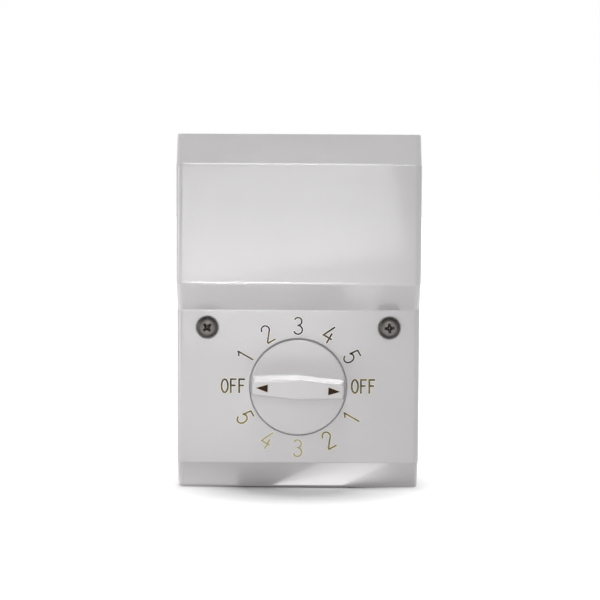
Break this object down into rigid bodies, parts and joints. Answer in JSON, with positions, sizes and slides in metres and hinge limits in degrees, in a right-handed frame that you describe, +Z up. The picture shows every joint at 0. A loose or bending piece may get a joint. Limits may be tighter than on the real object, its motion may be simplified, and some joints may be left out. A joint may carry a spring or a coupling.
{
  "type": "fan speed control switch",
  "caption": "Surface wall box for a ceiling fan: stepped white cover, rotary speed knob with a bar grip, tapped choke behind.",
  "frame": {"origin": "on the wall plane, midway between the two mounting screws", "axes": "+X to the right seen from the front, +Y into the wall, +Z up"},
  "size_m": [0.081, 0.0499, 0.119],
  "materials": {
    "white_moulding": "gloss",
    "dark_screw": "blackened",
    "zinc_steel": "zinc plated",
    "spring_steel": "bright",
    "brass": "bright",
    "dark_moulding": "phenolic",
    "cream_moulding": "satin",
    "core_steel": "varnished laminations",
    "copper_wire": "enamelled",
    "coil_tape": "tape",
    "lead_red": "insulation",
    "lead_yellow": "insulation",
    "lead_blue": "insulation",
    "lead_white": "insulation",
    "lead_black": "insulation"
  },
  "bodies": {
    "case": {"front_cover": "white_moulding", "mounting_screws": "dark_screw", "cover_screws": "zinc_steel", "back_plate": "zinc_steel", "switch_bushing": "brass", "switch_front_plate": "zinc_steel", "switch_housing": "dark_moulding", "detent_spring": "spring_steel", "common_terminal": "brass", "speed_terminal_1": "brass", "speed_terminal_2": "brass", "speed_terminal_3": "brass", "speed_terminal_4": "brass", "speed_terminal_5": "brass", "switch_bridge": "zinc_steel", "bridge_screws": "zinc_steel", "switch_washer": "zinc_steel", "switch_nut": "brass", "choke_e_stack": "core_steel", "choke_i_stack": "core_steel", "choke_bobbin": "cream_moulding", "choke_winding": "copper_wire", "choke_tape": "coil_tape", "choke_bolts": "zinc_steel", "choke_spacers": "zinc_steel", "terminal_block": "cream_moulding", "terminal_insert_1": "brass", "terminal_insert_2": "brass", "terminal_insert_3": "brass", "terminal_screws": "zinc_steel", "earth_washer": "brass", "earth_screw": "brass", "tap_lead_1": "lead_red", "tap_lead_2": "lead_yellow", "tap_lead_3": "lead_blue", "tap_lead_4": "lead_white", "tap_lead_5": "lead_black", "common_lead": "lead_black", "feed_lead": "lead_red"},
    "speed_knob": {"knob": "white_moulding", "knob_spring": "spring_steel", "switch_shaft": "spring_steel", "shaft_clip": "spring_steel", "switch_rotor": "cream_moulding", "rotor_contact": "brass"}
  },
  "joints": [
    {"name": "knob_turn", "type": "hinge", "parent": "case", "child": "speed_knob", "pos_m": [0, -0.0274, -0.0198], "axis": [0, 1, 0], "continuous": true}
  ]
}
